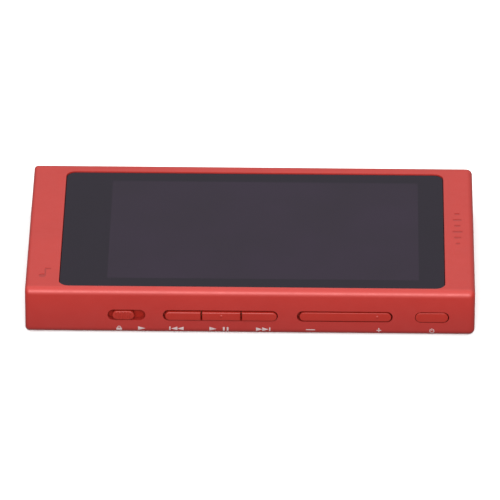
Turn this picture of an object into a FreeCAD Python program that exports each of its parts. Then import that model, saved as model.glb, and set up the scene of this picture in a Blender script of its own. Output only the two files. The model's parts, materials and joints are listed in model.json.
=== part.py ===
"""A slim touch-screen audio player, lying on its back with the screen up.

Millimetres. +X runs towards the player's top end, -Y is the side with the keys, +Z is the screen side.
The origin is the centre of the back face. Every sub-part has one function and is written to parts/NAME.step.
"""

import FreeCAD
import Part
import math
import os

Vector = FreeCAD.Vector
X_AXIS = Vector(1, 0, 0)
Y_AXIS = Vector(0, 1, 0)
Z_AXIS = Vector(0, 0, 1)

# ---- shared allowances ---------------------------------------------------------------------------
OVER = 1.0       # how far a cutting tool passes beyond what it cuts
CLEAR = 0.1      # play round a screw, a tab or a slider
EMBED = 0.1      # how far a fused post or rail reaches into its neighbour
SAME = 0.01      # coordinates closer than this are the same
PARALLEL = 1e-6  # directions whose product is this near to 1 are parallel
ROUND_SHARE = 0.95  # the share of its half width that rounds the end of a small bar or opening
BOARD_CLEAR = 0.3

# ---- outside of the case -------------------------------------------------------------------------
LENGTH = 97.3
WIDTH = 55.7
HEIGHT = 10.9
END = LENGTH / 2
SIDE = WIDTH / 2
TOP_R = 1.5
BOTTOM_R = 1.4
LOWER_END_R = 0.9
UPPER_END_R = 1.3
WALL = 1.4
INNER_END = END - WALL
INNER_SIDE = SIDE - WALL

# ---- back cover: a plate in a recess of the frame, with a raised step inside the frame's ledge --------
COVER_INSET = 2.2
COVER_PLATE = 0.6
STEP_INSET = 3.0
FLOOR_Z = 1.1
COVER_GAP = 0.05
COVER_CORNER_R = 0.8
HOOK_LIP = 0.75
HOOK_HEIGHT = 0.5
SIDE_HOOK_X = (-12.0, 14.0, 38.0)
SIDE_HOOK_WIDTH = 4.0
END_HOOK_Y = (-16.0, 0.0, 16.0)
END_HOOK_WIDTH = 5.0
HOOK_ROOT = 1.2

# ---- two screws through the bottom end into tabs of the back cover --------------------------------
COVER_SCREW_Y = 11.4
COVER_SCREW_Z = 2.9
COVER_SCREW_R = 0.7
COVER_SCREW_HEAD_R = 1.2
COVER_SCREW_HEAD = 0.6
COVER_SCREW_RIM = 0.2
COVER_SCREW_LENGTH = 3.6
TAB_HALF = 1.7
TAB_THICK = 1.8
TAB_TOP = 4.6

# ---- screen stack, centred nearer to the side with the keys; Y sizes are half widths about SCREEN_Y ---
SCREEN_Y = -0.95
GLASS_X0 = -41.4
GLASS_X1 = 42.2
GLASS_Y = 25.35
GLASS_R = 2.2
GLASS_GAP = 0.1
GLASS_DROP = 0.2
GLASS_TOP = HEIGHT - GLASS_DROP
GLASS_BOTTOM = 10.0
MASK_BOTTOM = 9.95
LEDGE_TOP = 9.85
LEDGE_BOTTOM = 9.05
LEDGE_WIDTH = 1.4
WINDOW_X0 = -31.0
WINDOW_X1 = 36.5
WINDOW_Y = 21.4
WINDOW_R = 0.3
TOUCH_X0 = -36.6
TOUCH_X1 = 39.0
TOUCH_Y = 23.3
TOUCH_BOTTOM = 9.75
PANEL_X0 = -35.8
PANEL_X1 = 38.1
PANEL_Y = 22.4
PANEL_TOP = 9.7
PANEL_BOTTOM = 8.75
BACKLIGHT_BOTTOM = 7.85
CUSHION_MARGIN = 1.6
SHEET_R = 0.5
DISPLAY_OPENING_R = 1.0
GLASS_EDGE_R = 0.15
FLEX_THICK = 0.15
FLEX_DROP_X = -38.275
FLEX_BOARD_X = -36.0
FLEX_BOARD_Z = 5.525
LCD_FLEX_Y = (-5.0, 5.0)
TOUCH_FLEX_Y = (-17.0, -13.5)
FLEX_SLOT_X = (-38.875, -36.675)
FLEX_SLOT_MARGIN = 1.0
FLEX_CONNECTOR_X = (-37.6, -35.3)
FLEX_CONNECTOR_MARGIN = 0.6

# ---- chassis plate and its screws ------------------------------------------------------------------
CHASSIS_TOP = 7.7
CHASSIS_BOTTOM = 7.2
CHASSIS_GAP_X = 0.15
CHASSIS_Y = 25.9
BOSS_R = 1.4
BOSS_X = 45.4
BOSS_Y = 23.4
SMALL_SCREW_R = 0.6
CHASSIS_SCREW_R = 0.7
SCREW_HEAD_R = 1.1
SCREW_HEAD = 0.5
SCREW_HEAD_EDGE_R = 0.2
STANDOFF_R = 1.3
STANDOFF_HOLE_TOP = 6.8
STANDOFFS = ((-31.3, 23.4), (-42.1, -22.6), (-12.2, 7.0), (-12.2, -21.8))
CHASSIS_R = 1.0
CHASSIS_SCREW_LENGTH = 1.6
BOARD_SCREW_LENGTH = 2.4
BRACKET_SCREW_LENGTH = 0.85
CROSS_ARM = 0.6
CROSS_HALF_WIDTH = 0.13
CROSS_DEPTH = 0.3

# ---- main board --------------------------------------------------------------------------------
BOARD_TOP = 4.7
BOARD_BOTTOM = 3.9
BOARD_X0 = -45.2
BOARD_X1 = -10.0
BOARD_Y0 = -24.5
BOARD_Y1 = 25.9
BOARD_CORNER_X = -33.4
STRAP_NOTCH_X = -43.8
STRAP_NOTCH_Y = -18.0
CAN_WALL = 0.2
CAN_TOP = 6.4
PROCESSOR_CAN = (-34.2, -14.2, -9.2, 9.8)
AMPLIFIER_CAN = (-44.4, -38.9, -17.6, -10.2)
CAN_R = 0.4
# each package: centre X and Y, size in X and Y, height
CHIPS = ((-29.0, -2.5, 8.0, 9.0, 1.0), (-19.0, -2.0, 6.5, 9.0, 0.9), (-27.5, 6.5, 6.0, 4.0, 0.8),
         (-41.6, -13.9, 4.0, 4.5, 0.8), (-18.0, 6.6, 3.5, 3.5, 0.7))
CHIP_CAPACITOR = (1.0, 0.5, 0.5)
CAPACITOR_ROW = {"x": -33.6, "y": -11.6, "pitch": 1.5, "count": 8}
CAPACITOR_COLUMN = {"x": -20.4, "y": -17.0, "pitch": 1.1, "count": 5}
POLYMER_CAPACITOR = (3.5, 2.8, 1.8)
POLYMER_X = (-34.0, -29.6)
POLYMER_Y = -20.6
COIL_X = (-33.0, -29.4, -25.8, -22.6)
COIL_Y = -14.7
COIL_SIZE = (2.4, 3.0, 1.2)
CRYSTAL_X = -12.2
CRYSTAL_Y = (1.5, -2.5)
CRYSTAL_SIZE = (3.2, 2.0, 0.8)
KEY_CONNECTOR = (-19.6, -14.8, -22.0, -19.4)

# ---- battery -----------------------------------------------------------------------------------
BATTERY_X0 = -8.0
BATTERY_X1 = 42.0
BATTERY_Y = 18.0
BATTERY_BOTTOM = 1.6
BATTERY_TOP = 7.0
BATTERY_R = 1.0
BATTERY_EDGE_R = 0.5
CELL_BOARD_THICK = 1.2
CELL_BOARD_Y1 = 14.0
CELL_BOARD_BOTTOM = 3.2
CELL_BOARD_TOP = 5.2
TAPE_Y = 9.0
TAPE_HALF = 3.5
TAPE_MARGIN = 4.0
WIRE_R = 0.3
WIRE_Y = (-16.5, -15.5, -14.5)
WIRE_Z = 6.0
WIRE_BEND_R = 0.5
PLUG_X0 = -13.8
PLUG_X1 = -10.4
PLUG_SEAM_Z = 5.6
PLUG_TOP = 6.4
PLUG_MARGIN = 0.9
PLUG_EDGE_R = 0.2
SOCKET_MARGIN = 1.2

# ---- headphone jack ------------------------------------------------------------------------------
PORT_Z = 4.4
JACK_Y = 17.0
JACK_BORE_R = 1.8
JACK_BORE_LENGTH = 14.0
JACK_HALF_WIDTH = 3.4
JACK_HALF_HEIGHT = 2.6
JACK_BACK = 1.2
JACK_RING_R = 2.6
JACK_RING_DROP = 0.05
JACK_CONTACT_X = (-45.5, -42.5, -39.5, -36.5)
JACK_CONTACT_WIDTH = 1.0
JACK_CONTACT_GAP = 0.15
PORT_EDGE_R = 0.15

# ---- dock port in the middle of the bottom end ----------------------------------------------------
DOCK_HALF_WIDTH = 8.6
DOCK_HALF_HEIGHT = 1.3
DOCK_R = 0.9
DOCK_SHELL_WALL = 0.3
DOCK_DEPTH = 8.5
DOCK_TONGUE_HALF = 7.6
DOCK_TONGUE_THICK = 0.8
DOCK_CONTACTS = 22
DOCK_PITCH = 0.65
DOCK_BACK = 1.2
DOCK_TONGUE_DROP = 0.6
DOCK_CONTACT_DROP = 1.2
DOCK_CONTACT = (0.32, 0.08)

# ---- wrist-strap opening and post ------------------------------------------------------------------
STRAP_Y = -21.5
STRAP_HALF_WIDTH = 2.4
STRAP_HALF_HEIGHT = 1.1
STRAP_POST_X = -46.45
STRAP_POST_R = 0.5
STRAP_FOOT_R = 0.75
STRAP_FOOT = 0.3

# ---- memory-card socket and its hinged cover, far side --------------------------------------------
CARD_X = -23.0
CARD_OPENING = 16.0
CARD_OPENING_Z0 = 2.6
CARD_OPENING_Z1 = 6.5
CARD_COVER_GAP = 0.1
CARD_COVER_THICK = 1.05
CARD_HINGE_Y = 27.3
CARD_HINGE_Z = 3.2
CARD_BARREL_R = 0.55
CARD_PIN_R = 0.3
CARD_PIN_LENGTH = 0.8
CARD_PIN_GAP = 0.04
CARD_LIP_WIDTH = 5.0
CARD_LIP_DEPTH = 0.35
CARD_LIP_HEIGHT = 0.5
SOCKET_HALF = 6.5
SOCKET_Y0 = 11.7
SOCKET_Y1 = 26.0
SOCKET_TOP = 6.3
SOCKET_BASE = 0.3
CARD_CONTACTS = 8
CARD_PITCH = 1.1
CARD_CONTACT = (0.6, 3.7, 0.12)
CARD_CONTACT_DROP = 0.8
CARD_EDGE_R = 0.15

# ---- keys along the near side ----------------------------------------------------------------------
KEY_Z = 4.6
SLOT_HALF = 1.3
KEY_EDGE_R = 0.25
FLUSH_KEY_EDGE_R = 0.12
KEY_SPLIT_GAP = 0.28
# each cap's height above the side's face, and its gaps to the slot's edges and ends
TRANSPORT_FIT = {"proud": 0.35, "above": 0.38, "below": 0.17, "left": 0.50, "right": 0.20}
HOLD_FIT = {"proud": 0.20, "above": 0.32, "below": 0.17}
VOLUME_FIT = {"proud": 0.15, "above": 0.32, "below": 0.26, "left": 0.60, "right": 0.36}
POWER_FIT = {"proud": 0.12, "above": 0.22, "below": 0.17, "left": 0.10, "right": 0.25}
FLANGE_FRONT = -26.4
FLANGE_BACK = -25.9
FLANGE_HALF = 1.8
FLANGE_OVERLAP = 0.5
FLANGE_SPLIT_GAP = 0.1
NUB_BACK = -25.6
NUB_R = 0.9
DOME_R = 1.5
DOME_GAP = 0.02
DOME_THICK = 0.07
KEY_FLEX_FRONT = -25.3
KEY_FLEX_BACK = -25.15
KEY_FLEX_Z0 = 2.9
KEY_FLEX_Z1 = 6.3
KEY_TAIL_MARGIN = 0.5
BRACKET_BACK = -24.75
BRACKET_Z0 = 3.2
BRACKET_X0 = -20.5
BRACKET_X1 = 44.0
BRACKET_TAB_X = (-17.6, 8.2, 33.2)
BRACKET_TAB_HALF = 1.8
BRACKET_TAB_THICK = 0.4
BRACKET_TAB_Y = -21.6
BRACKET_SCREW_Y = -23.0

TRANSPORT_X0 = -18.85
TRANSPORT_X1 = 6.05
TRANSPORT_SPLITS = (-10.5, -1.9)
VOLUME_X0 = 10.15
VOLUME_X1 = 30.9
VOLUME_NUB = 7.0
VOLUME_FLANGE_HALF = 5.0
VOLUME_FLANGE_FRONT = -26.3
VOLUME_LIP_FRONT = -26.15
VOLUME_LIP_REACH = 0.4
VOLUME_LIP_LENGTH = 2.0
VOLUME_LIP_HALF = 1.55
PIVOT_R = 0.25
PIVOT_Y = -25.6
POWER_X0 = 35.7
POWER_X1 = 43.1
TACTILE_DOT_R = 0.35
TACTILE_DOT_RISE = 0.12

# ---- hold slider ---------------------------------------------------------------------------------
HOLD_X0 = -30.8
HOLD_X1 = -22.6
HOLD_KNOB_X0 = -29.75
HOLD_KNOB_X1 = -25.05
HOLD_RIBS = 5
HOLD_RIB_PITCH = 0.75
HOLD_RIB_WIDTH = 0.32
HOLD_RIB_RISE = 0.15
HOLD_RIB_HALF = 0.8
HOLD_RIB_R = 0.1
HOLD_EDGE_R = 0.18
HOLD_TRAVEL = 2.0
HOLD_LEVER_X0 = -32.9
HOLD_LEVER_X1 = -22.4
HOLD_GUIDE_GAP = 0.1
HOLD_GUIDE_THICK = 0.3
SLIDER_HALF = 0.6
SLIDER_Z0 = 5.1
SLIDER_Z1 = 5.8
SLIDER_FRONT = -25.7
SWITCH_FRONT = -24.9
SWITCH_BACK = -22.1
SWITCH_TOP = 6.2
SWITCH_MARGIN = 2.0
SWITCH_TRACK_GAP = 0.2
SWITCH_TRACK_BACK = -23.5
SLIDER_BACK = -23.7
PRONG_BACK = -25.2
PRONG_WIDTH = 0.65
PRONG_GAP = 0.05

# ---- radio: contactless coil on the back cover, antenna block and its lead ------------------------
NFC_X0 = 2.0
NFC_X1 = 36.0
NFC_HALF = 16.0
NFC_TURNS = 4
NFC_PITCH = 1.3
NFC_TRACK = 0.6
NFC_THICK = 0.1
NFC_R = 2.0
FERRITE_MARGIN = 1.0
FERRITE_THICK = 0.2
ANTENNA = (43.2, 46.6, 5.0, 20.0, 3.6, 6.4)
LEAD_R = 0.4
LEAD_Y = 19.3
LEAD_Z = 5.9
LEAD_PLUG_R = 0.8

# ---- shallow marks sunk into the front face: a note and a row of level bars -----------------------
MARK_DEPTH = 0.08
NOTE_X = -44.3
NOTE_Y = -20.7
NOTE_HEAD_R = 0.75
NOTE_STEM = 0.3
NOTE_BELOW = 1.3
NOTE_ABOVE = 2.0
NOTE_FLAG = (1.1, 0.65)
NOTE_FLAG_R = 0.21
LEVEL_X = 45.1
LEVEL_PITCH = 2.6
LEVEL_WIDTH = 0.8
LEVEL_LENGTHS = (1.0, 1.6, 2.2, 1.4, 2.0, 1.2)


# ---- helpers -------------------------------------------------------------------------------------
def box(x0, x1, y0, y1, z0, z1):
    return Part.makeBox(x1 - x0, y1 - y0, z1 - z0, Vector(x0, y0, z0))


def cylinder(radius, start, axis, length):
    return Part.makeCylinder(radius, length, start, axis)


def along(edge, axis):
    """Whether an edge is straight and runs along the axis."""
    if not isinstance(edge.Curve, Part.Line):
        return False
    return abs(abs(edge.tangentAt(edge.FirstParameter).dot(axis)) - 1) < PARALLEL


def rounded_box(x0, x1, y0, y1, z0, z1, radius, axis=Z_AXIS):
    """A box whose four edges along the axis are rounded."""
    block = box(x0, x1, y0, y1, z0, z1)
    return block.makeFillet(radius, [e for e in block.Edges if along(e, axis)])


def screen_sheet(x0, x1, half, z0, z1, radius):
    """A layer of the screen: a slab with rounded corners about the screen's middle line."""
    return rounded_box(x0, x1, SCREEN_Y - half, SCREEN_Y + half, z0, z1, radius)


def inset_slab(inset, z0, z1, radius):
    """A slab with the case's outline, moved in by the inset."""
    return rounded_box(inset - END, END - inset, inset - SIDE, SIDE - inset, z0, z1, radius)


def fuse(shapes):
    return shapes[0].multiFuse(shapes[1:]).removeSplitter()


def fuse_or_single(shapes):
    return fuse(shapes) if len(shapes) > 1 else shapes[0]


def cut(shape, tools):
    return shape.cut(Part.makeCompound(tools)).removeSplitter()


def group(shapes):
    """Separate solids that share one node."""
    return Part.makeCompound(shapes)


def round_ended(x0, x1, half, y0, y1, left_round=True, right_round=True, z=KEY_Z):
    """A bar along X of the given half height about z, round or square at each end."""
    bar = [box(x0 + half * left_round, x1 - half * right_round, y0, y1, z - half, z + half)]
    if left_round:
        bar.append(cylinder(half, Vector(x0 + half, y0, z), Y_AXIS, y1 - y0))
    if right_round:
        bar.append(cylinder(half, Vector(x1 - half, y0, z), Y_AXIS, y1 - y0))
    return fuse_or_single(bar)


def key_cap(x0, x1, fit, y_back, edge_r=KEY_EDGE_R, left_round=True, right_round=True):
    """A cap in its slot: as proud and as far from the slot's edges as its fit says, with a rounded face."""
    half = SLOT_HALF - (fit["above"] + fit["below"]) / 2
    middle = KEY_Z + (fit["below"] - fit["above"]) / 2
    front = -SIDE - fit["proud"]
    cap = round_ended(x0, x1, half, front, y_back, left_round, right_round, middle)
    return soften_front(cap, front, edge_r)


def soften_front(shape, y_front, radius):
    """Rounds every edge that lies in the plane of a key's outer face."""
    edges = [e for e in shape.Edges if abs(e.BoundBox.YMin - y_front) < SAME and e.BoundBox.YLength < SAME]
    return shape.makeFillet(radius, edges)


def folded_strip(points, y0, y1):
    """A flat flex cable between two Y values, folded square at each X-Z point of its course."""
    half = FLEX_THICK / 2
    runs = []
    for (xa, za), (xb, zb) in zip(points, points[1:]):
        x0, x1 = sorted((xa, xb))
        z0, z1 = sorted((za, zb))
        runs.append(box(x0 - half, x1 + half, y0, y1, z0 - half, z1 + half))
    return fuse(runs)


# ---- case ----------------------------------------------------------------------------------------
def outer_block():
    """The case's outside: a section with rounded long edges, and smaller roundings at its two ends."""
    block = box(-END, END, -SIDE, SIDE, 0, HEIGHT)
    block = block.makeFillet(TOP_R, [e for e in block.Edges if along(e, X_AXIS) and e.BoundBox.ZMin > TOP_R])
    bottom = [e for e in block.Edges if along(e, X_AXIS) and e.BoundBox.ZMax < BOTTOM_R]
    block = block.makeFillet(BOTTOM_R, bottom)
    for face_x, radius in ((-END, LOWER_END_R), (END, UPPER_END_R)):
        rim = [e for e in block.Edges if e.BoundBox.XLength < SAME and abs(e.BoundBox.XMin - face_x) < SAME]
        block = block.makeFillet(radius, rim)
    return block


def level_bars(z0, z1):
    middle = (len(LEVEL_LENGTHS) - 1) / 2
    bars = []
    for i, bar_length in enumerate(LEVEL_LENGTHS):
        y = (i - middle) * LEVEL_PITCH
        half = LEVEL_WIDTH / 2
        bars.append(rounded_box(LEVEL_X - bar_length / 2, LEVEL_X + bar_length / 2,
                                y - half, y + half, z0, z1, half * ROUND_SHARE))
    return bars


def music_note(z0, z1):
    """A quaver lying along the short side: an oval head, a stem and a flag."""
    low = NOTE_Y - NOTE_BELOW
    high = NOTE_Y + NOTE_ABOVE
    head = cylinder(NOTE_HEAD_R, Vector(NOTE_X - NOTE_HEAD_R, low, z0), Z_AXIS, z1 - z0)
    stem = box(NOTE_X - NOTE_STEM, NOTE_X, low, high, z0, z1)
    reach, depth = NOTE_FLAG
    flag = rounded_box(NOTE_X - NOTE_STEM, NOTE_X + reach, high - depth, high, z0, z1, NOTE_FLAG_R)
    return fuse([head, stem, flag])


def card_opening():
    half = CARD_OPENING / 2
    return box(CARD_X - half, CARD_X + half, INNER_SIDE - OVER, SIDE + OVER, CARD_OPENING_Z0, CARD_OPENING_Z1)


def hold_guides():
    """Two rails inside the near wall that the hold lever slides between."""
    x0 = HOLD_LEVER_X0
    x1 = HOLD_LEVER_X1 + HOLD_TRAVEL
    above = KEY_Z + FLANGE_HALF + HOLD_GUIDE_GAP
    below = KEY_Z - FLANGE_HALF - HOLD_GUIDE_GAP
    return [box(x0, x1, -INNER_SIDE, FLANGE_BACK, above, above + HOLD_GUIDE_THICK),
            box(x0, x1, -INNER_SIDE, FLANGE_BACK, below - HOLD_GUIDE_THICK, below)]


def boss_places():
    return [(sx * BOSS_X, y) for sx in (-1, 1) for y in (-BOSS_Y, 0, BOSS_Y)]


def key_slots():
    y0 = -SIDE - OVER
    y1 = -INNER_SIDE
    spans = ((TRANSPORT_X0, TRANSPORT_X1), (VOLUME_X0, VOLUME_X1), (POWER_X0, POWER_X1), (HOLD_X0, HOLD_X1))
    return [round_ended(x0, x1, SLOT_HALF, y0, y1) for x0, x1 in spans]


def end_openings():
    """What passes through the bottom end: jack, dock port, strap and two countersunk screws."""
    x0 = -END - OVER
    depth = WALL + OVER
    tools = [cylinder(JACK_RING_R, Vector(x0, JACK_Y, PORT_Z), X_AXIS, depth)]
    tools.append(rounded_box(x0, -INNER_END, -DOCK_HALF_WIDTH, DOCK_HALF_WIDTH,
                             PORT_Z - DOCK_HALF_HEIGHT, PORT_Z + DOCK_HALF_HEIGHT, DOCK_R, X_AXIS))
    tools.append(rounded_box(x0, -INNER_END, STRAP_Y - STRAP_HALF_WIDTH, STRAP_Y + STRAP_HALF_WIDTH,
                             PORT_Z - STRAP_HALF_HEIGHT, PORT_Z + STRAP_HALF_HEIGHT,
                             STRAP_HALF_HEIGHT * ROUND_SHARE, X_AXIS))
    for y in (-COVER_SCREW_Y, COVER_SCREW_Y):
        tools.append(cylinder(COVER_SCREW_R + CLEAR, Vector(x0, y, COVER_SCREW_Z), X_AXIS, depth))
        tools.append(cylinder(COVER_SCREW_HEAD_R + CLEAR / 2, Vector(x0, y, COVER_SCREW_Z), X_AXIS,
                              OVER + COVER_SCREW_HEAD))
    return tools


def card_hinge_sockets():
    reach = CARD_OPENING / 2 + CARD_PIN_LENGTH + CLEAR
    return cylinder(CARD_PIN_R + CARD_PIN_GAP, Vector(CARD_X - reach, CARD_HINGE_Y, CARD_HINGE_Z),
                    X_AXIS, 2 * reach)


def tab_notches():
    """Room in the ledge for the back cover's two screw tabs."""
    half = TAB_HALF + CLEAR
    return [box(-INNER_END, STEP_INSET - END + CLEAR, y - half, y + half, COVER_PLATE, FLOOR_Z + CLEAR)
            for y in (-COVER_SCREW_Y, COVER_SCREW_Y)]


def front_frame():
    display = screen_sheet(GLASS_X0 + LEDGE_WIDTH, GLASS_X1 - LEDGE_WIDTH, GLASS_Y - LEDGE_WIDTH,
                           LEDGE_BOTTOM - OVER, LEDGE_TOP + OVER, DISPLAY_OPENING_R)
    glass = screen_sheet(GLASS_X0, GLASS_X1, GLASS_Y, LEDGE_TOP, HEIGHT + OVER, GLASS_R)
    shell = cut(outer_block(), [inset_slab(COVER_INSET, -OVER, COVER_PLATE, COVER_CORNER_R),
                                inset_slab(STEP_INSET, -OVER, FLOOR_Z + CLEAR, COVER_CORNER_R),
                                inset_slab(WALL, FLOOR_Z, LEDGE_BOTTOM, COVER_CORNER_R),
                                display, glass])
    bosses = [cylinder(BOSS_R, Vector(x, y, CHASSIS_TOP), Z_AXIS, LEDGE_BOTTOM + EMBED - CHASSIS_TOP)
              for x, y in boss_places()]
    shell = fuse([shell] + bosses + hold_guides())
    threads = [cylinder(CHASSIS_SCREW_R, Vector(x, y, CHASSIS_TOP - EMBED), Z_AXIS,
                        LEDGE_BOTTOM - CHASSIS_TOP) for x, y in boss_places()]
    marks = [music_note(HEIGHT - MARK_DEPTH, HEIGHT + OVER)] + level_bars(HEIGHT - MARK_DEPTH, HEIGHT + OVER)
    return cut(shell, threads + marks + key_slots() + end_openings() + tab_notches()
               + [card_opening(), card_hinge_sockets()])


def cover_hooks():
    """Lips that reach over the frame's ledge: along both sides and at the top end."""
    z0 = FLOOR_Z
    z1 = FLOOR_Z + HOOK_HEIGHT
    lip_z = FLOOR_Z + COVER_GAP
    hooks = []
    wall = SIDE - STEP_INSET - COVER_GAP
    for x in SIDE_HOOK_X:
        xa = x - SIDE_HOOK_WIDTH / 2
        xb = x + SIDE_HOOK_WIDTH / 2
        hooks.append(box(xa, xb, wall - HOOK_ROOT, wall, z0, z1))
        hooks.append(box(xa, xb, wall - HOOK_ROOT, wall + HOOK_LIP, lip_z, z1))
        hooks.append(box(xa, xb, -wall, HOOK_ROOT - wall, z0, z1))
        hooks.append(box(xa, xb, -wall - HOOK_LIP, HOOK_ROOT - wall, lip_z, z1))
    wall = END - STEP_INSET - COVER_GAP
    for y in END_HOOK_Y:
        ya = y - END_HOOK_WIDTH / 2
        yb = y + END_HOOK_WIDTH / 2
        hooks.append(box(wall - HOOK_ROOT, wall, ya, yb, z0, z1))
        hooks.append(box(wall - HOOK_ROOT, wall + HOOK_LIP, ya, yb, lip_z, z1))
    return hooks


def rear_cover():
    plate = inset_slab(COVER_INSET + COVER_GAP, 0, COVER_PLATE, COVER_CORNER_R)
    step = inset_slab(STEP_INSET + COVER_GAP, 0, FLOOR_Z, COVER_CORNER_R)
    tabs = [box(COVER_GAP - INNER_END, TAB_THICK - INNER_END, y - TAB_HALF, y + TAB_HALF,
                COVER_PLATE + COVER_GAP, TAB_TOP) for y in (-COVER_SCREW_Y, COVER_SCREW_Y)]
    roots = [box(COVER_INSET + CLEAR - END, TAB_THICK - INNER_END, y - TAB_HALF, y + TAB_HALF,
                 COVER_PLATE / 2, TAB_TOP) for y in (-COVER_SCREW_Y, COVER_SCREW_Y)]
    threads = [cylinder(COVER_SCREW_R, Vector(-END, y, COVER_SCREW_Z), X_AXIS,
                        COVER_SCREW_LENGTH + OVER) for y in (-COVER_SCREW_Y, COVER_SCREW_Y)]
    return cut(fuse([plate, step] + tabs + roots + cover_hooks()), threads)


def cover_screws():
    """Countersunk screws with a cross recess, heads just under the bottom end's face."""
    screws = []
    x0 = JACK_RING_DROP - END
    for y in (-COVER_SCREW_Y, COVER_SCREW_Y):
        at = Vector(x0, y, COVER_SCREW_Z)
        rim = cylinder(COVER_SCREW_HEAD_R, at, X_AXIS, COVER_SCREW_RIM)
        cone_length = COVER_SCREW_HEAD - COVER_SCREW_RIM - JACK_RING_DROP
        cone_start = at + X_AXIS * COVER_SCREW_RIM
        cone = Part.makeCone(COVER_SCREW_HEAD_R, COVER_SCREW_R, cone_length, cone_start, X_AXIS)
        shank = cylinder(COVER_SCREW_R, at, X_AXIS, COVER_SCREW_LENGTH)
        arm = COVER_SCREW_HEAD_R * CROSS_ARM
        half = CROSS_HALF_WIDTH
        x1 = x0 + CROSS_DEPTH
        cross = [box(x0 - OVER, x1, y - arm, y + arm, COVER_SCREW_Z - half, COVER_SCREW_Z + half),
                 box(x0 - OVER, x1, y - half, y + half, COVER_SCREW_Z - arm, COVER_SCREW_Z + arm)]
        screws.append(cut(fuse([rim, cone, shank]), cross))
    return group(screws)


# ---- screen --------------------------------------------------------------------------------------
def glass_plan(z0, z1, gap):
    return screen_sheet(GLASS_X0 + gap, GLASS_X1 - gap, GLASS_Y - gap, z0, z1, GLASS_R - gap)


def cover_glass():
    plate = glass_plan(GLASS_BOTTOM, GLASS_TOP, GLASS_GAP)
    rim = [e for e in plate.Edges if e.BoundBox.ZMin > GLASS_TOP - SAME]
    return plate.makeFillet(GLASS_EDGE_R, rim)


def mask_layer():
    """The black print behind the glass, open over the picture."""
    window = screen_sheet(WINDOW_X0, WINDOW_X1, WINDOW_Y, MASK_BOTTOM - OVER, GLASS_BOTTOM + OVER, WINDOW_R)
    return glass_plan(MASK_BOTTOM, GLASS_BOTTOM, GLASS_GAP).cut(window)


def glass_adhesive():
    ring = glass_plan(LEDGE_TOP, MASK_BOTTOM, GLASS_GAP)
    inside = LEDGE_WIDTH - GLASS_GAP
    opening = screen_sheet(GLASS_X0 + inside, GLASS_X1 - inside, GLASS_Y - inside,
                           LEDGE_TOP - OVER, MASK_BOTTOM + OVER, DISPLAY_OPENING_R)
    return ring.cut(opening)


def touch_film():
    return screen_sheet(TOUCH_X0, TOUCH_X1, TOUCH_Y, TOUCH_BOTTOM, MASK_BOTTOM, SHEET_R)


def lcd_panel():
    return screen_sheet(PANEL_X0, PANEL_X1, PANEL_Y, PANEL_BOTTOM, PANEL_TOP, SHEET_R)


def lcd_backlight():
    return screen_sheet(PANEL_X0, PANEL_X1, PANEL_Y, BACKLIGHT_BOTTOM, PANEL_BOTTOM, SHEET_R)


def lcd_cushion():
    m = CUSHION_MARGIN
    return screen_sheet(PANEL_X0 + m, PANEL_X1 - m, PANEL_Y - m, CHASSIS_TOP, BACKLIGHT_BOTTOM, SHEET_R)


def screen_flex(edge_x, layer_bottom, y_span):
    """A flex cable from a layer's edge, down through the chassis plate and back to its connector."""
    z = layer_bottom + FLEX_THICK / 2
    course = [(edge_x - FLEX_THICK / 2, z), (FLEX_DROP_X, z), (FLEX_DROP_X, FLEX_BOARD_Z),
              (FLEX_BOARD_X, FLEX_BOARD_Z)]
    return folded_strip(course, y_span[0], y_span[1])


def lcd_flex():
    return screen_flex(PANEL_X0, PANEL_BOTTOM, LCD_FLEX_Y)


def touch_flex():
    return screen_flex(TOUCH_X0, TOUCH_BOTTOM, TOUCH_FLEX_Y)


# ---- chassis -------------------------------------------------------------------------------------
def chassis_plate():
    """The stamped plate behind the screen, with standoffs for the main board."""
    x1 = INNER_END - CHASSIS_GAP_X
    plate = rounded_box(-x1, x1, -CHASSIS_Y, CHASSIS_Y, CHASSIS_BOTTOM, CHASSIS_TOP, CHASSIS_R)
    posts = [cylinder(STANDOFF_R, Vector(x, y, BOARD_TOP), Z_AXIS, CHASSIS_BOTTOM - BOARD_TOP + EMBED)
             for x, y in STANDOFFS]
    holes = [cylinder(CHASSIS_SCREW_R, Vector(x, y, 0), Z_AXIS, HEIGHT) for x, y in boss_places()]
    holes += [cylinder(SMALL_SCREW_R, Vector(x, y, 0), Z_AXIS, STANDOFF_HOLE_TOP) for x, y in STANDOFFS]
    holes += [cylinder(SMALL_SCREW_R, Vector(x, BRACKET_SCREW_Y, 0), Z_AXIS, HEIGHT) for x in BRACKET_TAB_X]
    m = FLEX_SLOT_MARGIN
    for y0, y1 in (LCD_FLEX_Y, TOUCH_FLEX_Y):
        holes.append(rounded_box(FLEX_SLOT_X[0], FLEX_SLOT_X[1], y0 - m, y1 + m, 0, HEIGHT, SHEET_R))
    return cut(fuse([plate] + posts), holes)


def pan_screw(x, y, seat_z, shank_r, shank_length):
    """A pan-head screw pointing up, with its head below the seat."""
    head = cylinder(SCREW_HEAD_R, Vector(x, y, seat_z - SCREW_HEAD), Z_AXIS, SCREW_HEAD)
    rim = [e for e in head.Edges if e.BoundBox.ZMax < seat_z - SCREW_HEAD / 2]
    head = head.makeFillet(SCREW_HEAD_EDGE_R, rim)
    shank = cylinder(shank_r, Vector(x, y, seat_z - SCREW_HEAD / 2), Z_AXIS, shank_length + SCREW_HEAD / 2)
    arm = CROSS_ARM * SCREW_HEAD_R
    half = CROSS_HALF_WIDTH
    z0 = seat_z - SCREW_HEAD - OVER
    z1 = seat_z - SCREW_HEAD / 2
    cross = [box(x - arm, x + arm, y - half, y + half, z0, z1),
             box(x - half, x + half, y - arm, y + arm, z0, z1)]
    return cut(fuse([head, shank]), cross)


def chassis_screws():
    return group([pan_screw(x, y, CHASSIS_BOTTOM, CHASSIS_SCREW_R, CHASSIS_SCREW_LENGTH)
                  for x, y in boss_places()])


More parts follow.
